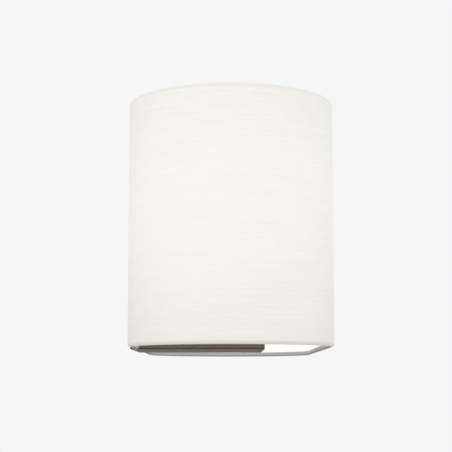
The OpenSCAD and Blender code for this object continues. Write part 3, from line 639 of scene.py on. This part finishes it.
def greenYellowPvc():
    # extruded two-colour PVC of the earth lead: yellow stripes along a green lead
    pvc, tree, shader = newFinish("green_yellow_pvc", {"Roughness": 0.42, "IOR": 1.53})
    stripe = objectNoise(tree, 2.2, 0, stretch=(1, 0.12, 0.12))
    crisp = addNode(tree, "MapRange", between((0.47, 0.53)), {"Value": stripe})
    mottle(tree, shader, "#4E7F2A", "#D8C934", crisp)
    relief(tree, shader, objectNoise(tree, 0.8), depthMm=0.02, strength=0.3)
    return pvc


bulbGlow = {
    "neck": 0.08, "ball": 0.24,
    "rise": 0.4,    # share of the height over which the one goes over into the other
}


def opalGlass():
    # blown opal glass, lit from within: even white, a little dimmer towards the neck, glossy
    glass, tree, shader = newFinish("opal_glass", {"Roughness": 0.12, "IOR": 1.5})
    mottle(tree, shader, "#EFEBE2", "#F8F6F0", objectNoise(tree, 20))
    low, high = (corner.z for corner in glassBoxes[0])
    ball = low + bulbGlow["rise"] * (high - low)
    span = between((low, ball), (bulbGlow["neck"], bulbGlow["ball"]))
    lit = addNode(tree, "MapRange", span, {"Value": upward(tree)}, interpolation_type="SMOOTHSTEP")
    lightThrough(tree, shader, lit, "#FFFCF4")
    return glass


finishes = {
    "zinc_steel": zincPlate(),
    "black_rubber": mouldedPlastic("black_rubber", "#1E1E1E", "#2C2B2A", 0.7),
    "bronze_paint": bronzeSteel(),
    "bronze_screw": powderCoat("bronze_painted_screw", "#443429", "#523F33", 0.36, peelMm=0.6),
    "white_moulding": mouldedPlastic("white_polyamide", "#DEDBD2", "#EAE7DF", 0.42),
    "holder_moulding": mouldedPlastic("white_thermoset", "#E2DED3", "#ECE9E1", 0.34),
    # the core is ceramic, pressed and fired: matt and a little yellow
    "holder_core": mouldedPlastic("steatite", "#CFC8B8", "#DDD7C9", 0.6, sparkMm=0.5),
    "brass": turnedBrass(),
    "brown_pvc": mouldedPlastic("brown_pvc", "#5A3318", "#6C4023", 0.4),
    "blue_pvc": mouldedPlastic("blue_pvc", "#2F58A0", "#3C66B0", 0.4),
    "green_pvc": greenYellowPvc(),
    "slub_fabric": slubCloth("slub_cloth"),
    "white_lining": whiteLining(),
    "ring_wire": powderCoat("white_powder_coat", "#E4E3DF", "#EEEDEA", 0.4, peelMm=0.7),
    "carrier_steel": powderCoat("white_coated_strap", "#DEDDD8", "#E9E8E4", 0.45, peelMm=0.8),
    "opal_glass": opalGlass(),
    "nickel_cap": nickelPlate(),
    # melted into the cap round its contact: smooth and glossy
    "black_glass": mouldedPlastic("black_glass", "#0C0C0D", "#18181A", 0.12, sparkMm=2.0),
}
# copies of the cloth for the hems, with less light through them and painted shade on the roll
lowHemCloth = slubCloth("slub_cloth_bottom_hem", rimLook["light"][0], rimLook["rimShadeShare"][0])
topHemCloth = slubCloth("slub_cloth_top_hem", rimLook["light"][1], rimLook["rimShadeShare"][1])
for entry in frame["record"]["subparts"]:
    for spot in frame["nodes"][entry["node"]].material_slots:
        spot.material = finishes[entry["material_slot"]]
# the cover, whose face looks down, gets a darker and greyer copy of the body's coat: painted shade
# and painted reflection
shadedCoverCoat = powderCoat("shaded_bronze_powder_coat", "#544D48", "#5F5852", 0.6, gloss=0.25)
frame["nodes"]["bottom_cover"].material_slots[0].material = shadedCoverCoat
print("materials made:", len(finishes), "and three more for the hems and the cover")


# Shade

liningInset = shadeForm["fabric"] + shadeForm["glue"]
cloth = shadeSheet("cloth_sheet", 0, shadeForm["fabric"], 0, shadeForm["seamWidth"])
dress(cloth, finishes["slub_fabric"], "shade", "slub_fabric", "shade_fabric")
stiffener = shadeSheet("lining_sheet", liningInset, shadeForm["lining"],
                       wireRadius + shadeForm["glue"], 0)
dress(stiffener, finishes["white_lining"], "shade", "white_lining", "shade_lining")

hemForm = {
    "turn": 286,             # degrees that the cloth goes round the wire
    "turnSteps": 40,
    "tipSteps": 5,           # round the cloth's cut edge
    "tuckDepth": 0.05 * mm,  # gathers where it turns in on the round ends
    "tuckPitch": 7 * mm,
    "tuckFrom": 120,         # degrees round the wire where they start
    "tuckOver": 90,          # and over which they grow
    "weldRoom": 1.5 * mm,    # bare wire on either side of the strap
    "step": 1.6 * mm,        # between sections round the shade
}


def hemSection():
    # radius and angle round the wire: down the outside, under, up the inside, round the cut
    # edge, and back along the cloth's other face
    inner = rollRadius - shadeForm["fabric"]
    middle, half = (rollRadius + inner) / 2, shadeForm["fabric"] / 2
    turn, steps, tipSteps = hemForm["turn"], hemForm["turnSteps"], hemForm["tipSteps"]
    outside = [(rollRadius, -turn * k / steps) for k in range(steps + 1)]
    tip = []
    for k in range(1, tipSteps):
        t = math.pi * k / tipSteps
        tip.append((middle + half * math.cos(t), -turn - math.degrees(half * math.sin(t) / middle)))
    return outside + tip + [(inner, angle) for radius, angle in reversed(outside)]


def hemSweep(name, node, material, stations, up, closed):
    # stations are (distance round the shade, point, outward, up or down into the shade);
    # up is 1 or -1 and sets which way the weave's height runs
    section = hemSection()
    points, uvs = [], []
    for s, point, out, rise in stations:
        gather = max(0, 1 - out.y ** 2) * math.sin(2 * math.pi * s / hemForm["tuckPitch"])
        for radius, angle in section:
            inside = min(max((-angle - hemForm["tuckFrom"]) / hemForm["tuckOver"], 0), 1)
            r = radius + hemForm["tuckDepth"] * gather * inside
            turn = math.radians(angle)
            points.append(point + out * r * math.cos(turn) + rise * r * math.sin(turn))
            uvs.append((s, up * turn * rollRadius))
    faces = gridFaces(len(stations), len(section), closeRows=closed, closeColumns=True)
    if not closed:
        last = len(points) - len(section)
        faces += [tuple(range(len(section))), tuple(range(last, len(points)))]
    return dress(meshPiece(name, points, faces, uvs), material, "shade", "slub_fabric", node)


def plainStations(low, high, z, rise):
    stations = []
    count = math.ceil((high - low) / hemForm["step"])
    for k in range(count + 1):
        s = low + (high - low) * k / count
        point, out = outlinePoint(s, rollRadius)
        stations.append((s, point + Vector((0, 0, z)), out, Vector((0, 0, rise))))
    return stations


def notchStations():
    # from beside the strap, down over the bracket's side and out to the lower line, towards +X
    bend, start = shadeForm["bend"], strapHigh.x + hemForm["weldRoom"]
    headX, headZ = notchHalf - bend, crossbarZ - bend
    footX, footZ = notchHalf + bend, lowRingZ + bend
    turns = [(math.sin(t), math.cos(t)) for t in quarterTurn(10)]
    # x and z of the wire's middle, then the way into the roll
    path = [(start + (headX - start) * k / 16, crossbarZ, 0, 1) for k in range(16)]
    path += [(headX + bend * sin, headZ + bend * cos, sin, cos) for sin, cos in turns]
    path += [(notchHalf, headZ - (headZ - footZ) * k / 8, 1, 0) for k in range(1, 8)]
    path += [(footX - bend * cos, footZ - bend * sin, cos, sin) for sin, cos in turns]
    out = Vector((0, 1, 0))
    return [(x, Vector((x, wireY, z)), out, Vector((upX, 0, upZ))) for x, z, upX, upZ in path]


def mirrored(stations):
    flip = Vector((-1, 1, 1))
    return [(girth - s, point * flip, out * flip, rise * flip)
            for s, point, out, rise in reversed(stations)]


topPath = plainStations(0, girth, highRingZ, -1)[:-1]
topHem = hemSweep("top_hem", "top_edge_roll", topHemCloth, topPath, 1, True)
notch = notchStations()
footEnd = notchHalf + shadeForm["bend"]
lowerPath = plainStations(footEnd, girth - footEnd, lowRingZ, 1)[1:-1]
lowerPath = notch + lowerPath + mirrored(notch)
lowerHem = hemSweep("bottom_hem", "bottom_edge_roll", lowHemCloth, lowerPath, -1, False)
print("shade dressed")


# Lampholders, with the grip ribs of a moulded shell

holderForm = {
    "ribs": 24,
    "ribRadius": 0.5 * mm,
    "ribSteps": 16,                         # mesh columns for each rib
    "flange": 3 * mm, "slope": 2 * mm,      # foot of the shell
    "bead": 4 * mm, "beadSlope": 1 * mm,    # its rim
    "waist": 0.8 * mm,                      # how far it is drawn in between them
    "wall": 2 * mm,
    "floor": 2.5 * mm,
    "hole": 5.1 * mm,
    "round": 0.6 * mm,
}


def lampholder(side):
    node = side + "_lampholder"
    low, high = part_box(node)
    middle = (low + high) / 2
    drawn, edge, hole = holderForm["waist"], holderForm["round"], holderForm["hole"]
    slope, beadSlope = holderForm["slope"], holderForm["beadSlope"]
    radius = (high.x - low.x) / 2
    waist = radius - drawn
    bore, floor = waist - holderForm["wall"], low.z + holderForm["floor"]
    ribLow, ribHigh = low.z + holderForm["flange"], high.z - holderForm["bead"]
    waistLow, waistHigh = ribLow + slope, ribHigh - beadSlope
    turns = [(edge * math.sin(t), edge * math.cos(t)) for t in quarterTurn(4)]
    outline = [(hole, low.z)]
    outline += [(radius - edge + sin, low.z + edge - cos) for sin, cos in turns]
    outline += [(radius - drawn * k / 6, ribLow + slope * k / 6) for k in range(6)]
    outline += [(waist, waistLow + (waistHigh - waistLow) * k / 10) for k in range(11)]
    outline += [(radius - drawn * (1 - k / 4), waistHigh + beadSlope * k / 4) for k in range(1, 5)]
    outline += [(radius - edge + cos, high.z - edge + sin) for sin, cos in turns]
    outline += [(bore + edge - sin, high.z - edge + cos) for sin, cos in turns]
    outline += [(bore, floor), (hole, floor), (hole, low.z)]

    def ribbed(angle, r, z):
        # half-round ribs stand on the waist and run out into the slopes at its ends
        if r <= bore + edge or not ribLow < z < ribHigh:
            return r
        pitch = 2 * math.pi / holderForm["ribs"]
        off = waist * (angle - pitch * round(angle / pitch))
        if abs(off) >= holderForm["ribRadius"]:
            return r
        return max(r, waist + math.sqrt(holderForm["ribRadius"] ** 2 - off ** 2))

    steps = holderForm["ribs"] * holderForm["ribSteps"]
    shell = revolve(side + "_holder_shell", outline, (middle.x, middle.y), steps, ribbed)
    dress(shell, finishes["holder_moulding"], "bracket", "holder_moulding", node)


for side in ("left", "right"):
    lampholder(side)
print("lampholders made")


# Shade fixing: a threaded stud through the strap, and the strap's welds to the wire

studForm = {
    "pitch": 0.7 * mm, "depth": 0.36 * mm,    # coarse metric thread, 4 mm
    "diameter": 4 * mm,
    "head": 1.5 * mm,
    "headEdge": 0.2 * mm,
    "tip": 0.5 * mm,
    "steps": 32,           # mesh columns round it
    "pitchRows": 8,        # mesh rows in one turn of the thread
}


def threadedStud():
    low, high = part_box("shade_stud")
    centre, headRadius = (low + high) / 2, (high.x - low.x) / 2
    shaft, edge, tip = studForm["diameter"] / 2, studForm["headEdge"], studForm["tip"]
    headTop, tipLow = low.z + studForm["head"], high.z - tip
    rows = round((tipLow - headTop) / (studForm["pitch"] / studForm["pitchRows"]))
    outline = [(0, low.z), (headRadius - edge, low.z), (headRadius, low.z + edge)]
    outline += [(headRadius, headTop)]
    outline += [(shaft, headTop + (tipLow - headTop) * k / rows) for k in range(rows + 1)]
    outline += [(shaft - tip, high.z), (0, high.z)]

    def thread(angle, radius, z):
        if radius != shaft:
            return radius
        groove = 0.5 - 0.5 * math.cos(2 * math.pi * z / studForm["pitch"] - angle)
        return shaft - studForm["depth"] * groove

    stud = revolve("threaded_stud", outline, (centre.x, centre.y), studForm["steps"], thread)
    dress(stud, finishes["zinc_steel"], "bracket", "zinc_steel", "shade_stud")


weldForm = {
    "length": 12.5 * mm,
    "radius": 0.95 * mm,
    "flat": 0.7,             # its height as a share of its width
    "end": 0.02,             # thickness left at its ends, as a share
    "ripple": 1.3 * mm,      # spacing of the scales in the bead
    "height": 0.12 * mm,
    "wander": 0.12 * mm,     # how far it strays from a straight line
    "wanderSpan": 3 * mm,
}
weldPlaces = {
    # y and z of each bead's middle, against the wire and on the strap
    "front_weld": (wireY - wireRadius, strapHigh.z + 0.2 * mm),
    "rear_weld": (wireY + wireRadius - 0.3 * mm, strapHigh.z + 0.1 * mm),
}


def weldBead(name, y, z):
    # a short bead along the wire, full in the middle and tapering at both ends
    rows, steps, half = 60, 14, weldForm["length"] / 2
    lane = y * 900    # far apart in the noise, so that each bead strays in its own way
    points = []
    for r in range(rows + 1):
        x = half * (2 * r / rows - 1)
        full = math.sqrt(max(1 - (x / half) ** 4, weldForm["end"] ** 2))
        scale = weldForm["height"] * abs(math.sin(math.pi * x / weldForm["ripple"]))
        stray = weldForm["wander"] * noise.noise(Vector((x / weldForm["wanderSpan"], lane, 0)))
        radius = (weldForm["radius"] + scale) * full
        for k in range(steps):
            angle = 2 * math.pi * k / steps
            side, up = radius * math.cos(angle), weldForm["flat"] * radius * math.sin(angle)
            points.append((x, y + stray + side, z + up))
    faces = gridFaces(rows + 1, steps, closeColumns=True)
    faces += [tuple(range(steps)), tuple(range(rows * steps, (rows + 1) * steps))]
    bead = meshPiece(name, points, faces)
    dress(bead, finishes["carrier_steel"], "shade", "carrier_steel")


threadedStud()
for name, (y, z) in weldPlaces.items():
    weldBead(name, y, z)
print("shade fixing made")


# Round the leads, which the frame draws with eight sides

for node in ("brown_leads", "blue_leads", "earth_lead"):
    lead = frame["nodes"][node]
    weld = lead.modifiers.new("weld", "WELD")
    weld.merge_threshold = 0.01 * mm
    smooth = lead.modifiers.new("smooth", "SUBSURF")
    smooth.levels = smooth.render_levels = 1
print("leads rounded")


# Bulbs: golf-ball globes of opal glass

bulbForm = {
    "neckAngle": 50,       # degrees from straight down where the neck leaves the ball
    "pull": 6 * mm,        # how far the neck's curve keeps to its end directions
    "neck": 7.8 * mm,
    "footEdge": (0.5 * mm, 0.4 * mm),    # width and height
    "neckSteps": 16, "ballSteps": 40,
    "steps": 72,           # mesh columns round it
}


def bulbGlass(side, place, base):
    start, pull, neck = math.radians(bulbForm["neckAngle"]), bulbForm["pull"], bulbForm["neck"]
    neckSteps, ballSteps = bulbForm["neckSteps"], bulbForm["ballSteps"]
    edgeWidth, edgeHeight = bulbForm["footEdge"]
    foot = Vector((neck, base + edgeHeight))
    joint = Vector((globeRadius * math.sin(start), place[2] - globeRadius * math.cos(start)))
    leaving = pull * Vector((math.cos(start), math.sin(start)))
    hold = [foot, foot + Vector((0, pull)), joint - leaving, joint]
    outline = [(0, base), (neck - edgeWidth, base)]
    for k in range(neckSteps + 1):
        t = k / neckSteps
        weights = ((1 - t) ** 3, 3 * t * (1 - t) ** 2, 3 * t * t * (1 - t), t ** 3)
        spot = sum((weight * point for weight, point in zip(weights, hold)), Vector((0, 0)))
        outline.append((spot.x, spot.y))
    for k in range(1, ballSteps):
        angle = start + (math.pi - start) * k / ballSteps
        outline.append((globeRadius * math.sin(angle), place[2] - globeRadius * math.cos(angle)))
    outline.append((0, place[2] + globeRadius))
    glass = revolve(side + "_opal_globe", outline, place, bulbForm["steps"])
    dress(glass, finishes["opal_glass"], side + "_bulb", "opal_glass", side + "_bulb_glass")


for side, place, (low, high) in zip(("left", "right"), lampPlaces, glassBoxes):
    bulbGlass(side, place, low.z)
print("bulbs made")


# Studio: pale surround, soft lamps and a floor that fades out

studio = {
    "surround": "#F6F6F7",        # what the camera and the reflections see
    "ambient": (0.5, 0.8),        # light on the object from below, and from the sides and above
    "ambientSpan": (-0.6, 0.1),   # heights on the unit sphere where the one becomes the other
    "aim": (0, -0.07, 0.06),      # what the lamps point at
    "floor": "#DEDEDF",
    "floorPlace": (0, -0.07, -0.35),
    "floorRadius": 2.4,
    "floorSteps": (12, 96),       # mesh rings and columns
    "fade": (0.9, 2.28),          # distances from the middle where it starts to fade and is gone
}
softLamps = {
    # place, size in metres and power in watts
    "key": ((-2.1, -0.2, 0.5), 1.4, 5.0),
    "front": ((-0.2, -2.2, 0.7), 1.6, 3.0),
    "top": ((0.2, -0.3, 2.1), 1.6, 2.0),
    "back": ((-0.9, 1.8, 0.2), 1.4, 3.5),
}


def makeWorld():
    world = bpy.data.worlds.new("studio")
    bpy.context.scene.world = world
    world.use_nodes = True
    tree = world.node_tree
    tree.nodes.clear()
    path = addNode(tree, "LightPath").outputs
    seen = path["Is Camera Ray"]
    for kind in ("Is Glossy Ray", "Is Transmission Ray"):
        seen = addNode(tree, "Math", None, {0: seen, 1: path[kind]}, operation="MAXIMUM")
    span = between(studio["ambientSpan"], studio["ambient"])
    level = addNode(tree, "MapRange", span, {"Value": upward(tree, "Generated")})
    ambient = addNode(tree, "Background", {"Color": linear("#FFFFFF")}, {"Strength": level})
    surround = addNode(tree, "Background", {"Color": linear(studio["surround"])})
    both = addNode(tree, "MixShader", None, {0: seen, 1: ambient, 2: surround})
    addNode(tree, "OutputWorld", None, {"Surface": both})


def makeLamps():
    for name, (place, size, power) in softLamps.items():
        lamp = bpy.data.lights.new(name, "AREA")
        lamp.size, lamp.energy, lamp.shape = size, power, "DISK"
        stand = bpy.data.objects.new(name, lamp)
        stand.location = place
        ahead = Vector(studio["aim"]) - Vector(place)
        stand.rotation_euler = ahead.to_track_quat("-Z", "Y").to_euler()
        bpy.context.scene.collection.objects.link(stand)


def makeFloor():
    # matt paper, seen from above only, so that a view from below looks past it
    rings, steps = studio["floorSteps"]
    place, radius = studio["floorPlace"], studio["floorRadius"]
    outline = [(radius * (1 - k / rings), place[2]) for k in range(rings + 1)]
    ground = revolve("floor", outline, place, steps, recalc=False)
    paper, tree, shader = newFinish("floor_paper", {
        "Base Color": linear(studio["floor"]), "Roughness": 0.95, "Specular IOR Level": 0.0})
    spot = addNode(tree, "TexCoord").outputs["Object"]
    out = addNode(tree, "VectorMath", None, {0: spot}, operation="LENGTH").outputs["Value"]
    fade = addNode(tree, "MapRange", between(studio["fade"], (1, 0)), {"Value": out},
                   interpolation_type="SMOOTHSTEP")
    behind = addNode(tree, "NewGeometry").outputs["Backfacing"]
    front = addNode(tree, "Math", {0: 1}, {1: behind}, operation="SUBTRACT")
    alpha = addNode(tree, "Math", None, {0: fade, 1: front}, operation="MULTIPLY")
    tree.links.new(alpha.outputs[0], shader.inputs["Alpha"])
    ground.data.materials.append(paper)


makeWorld()
makeLamps()
makeFloor()
bpy.context.scene.view_settings.view_transform = "Standard"
print("studio set")
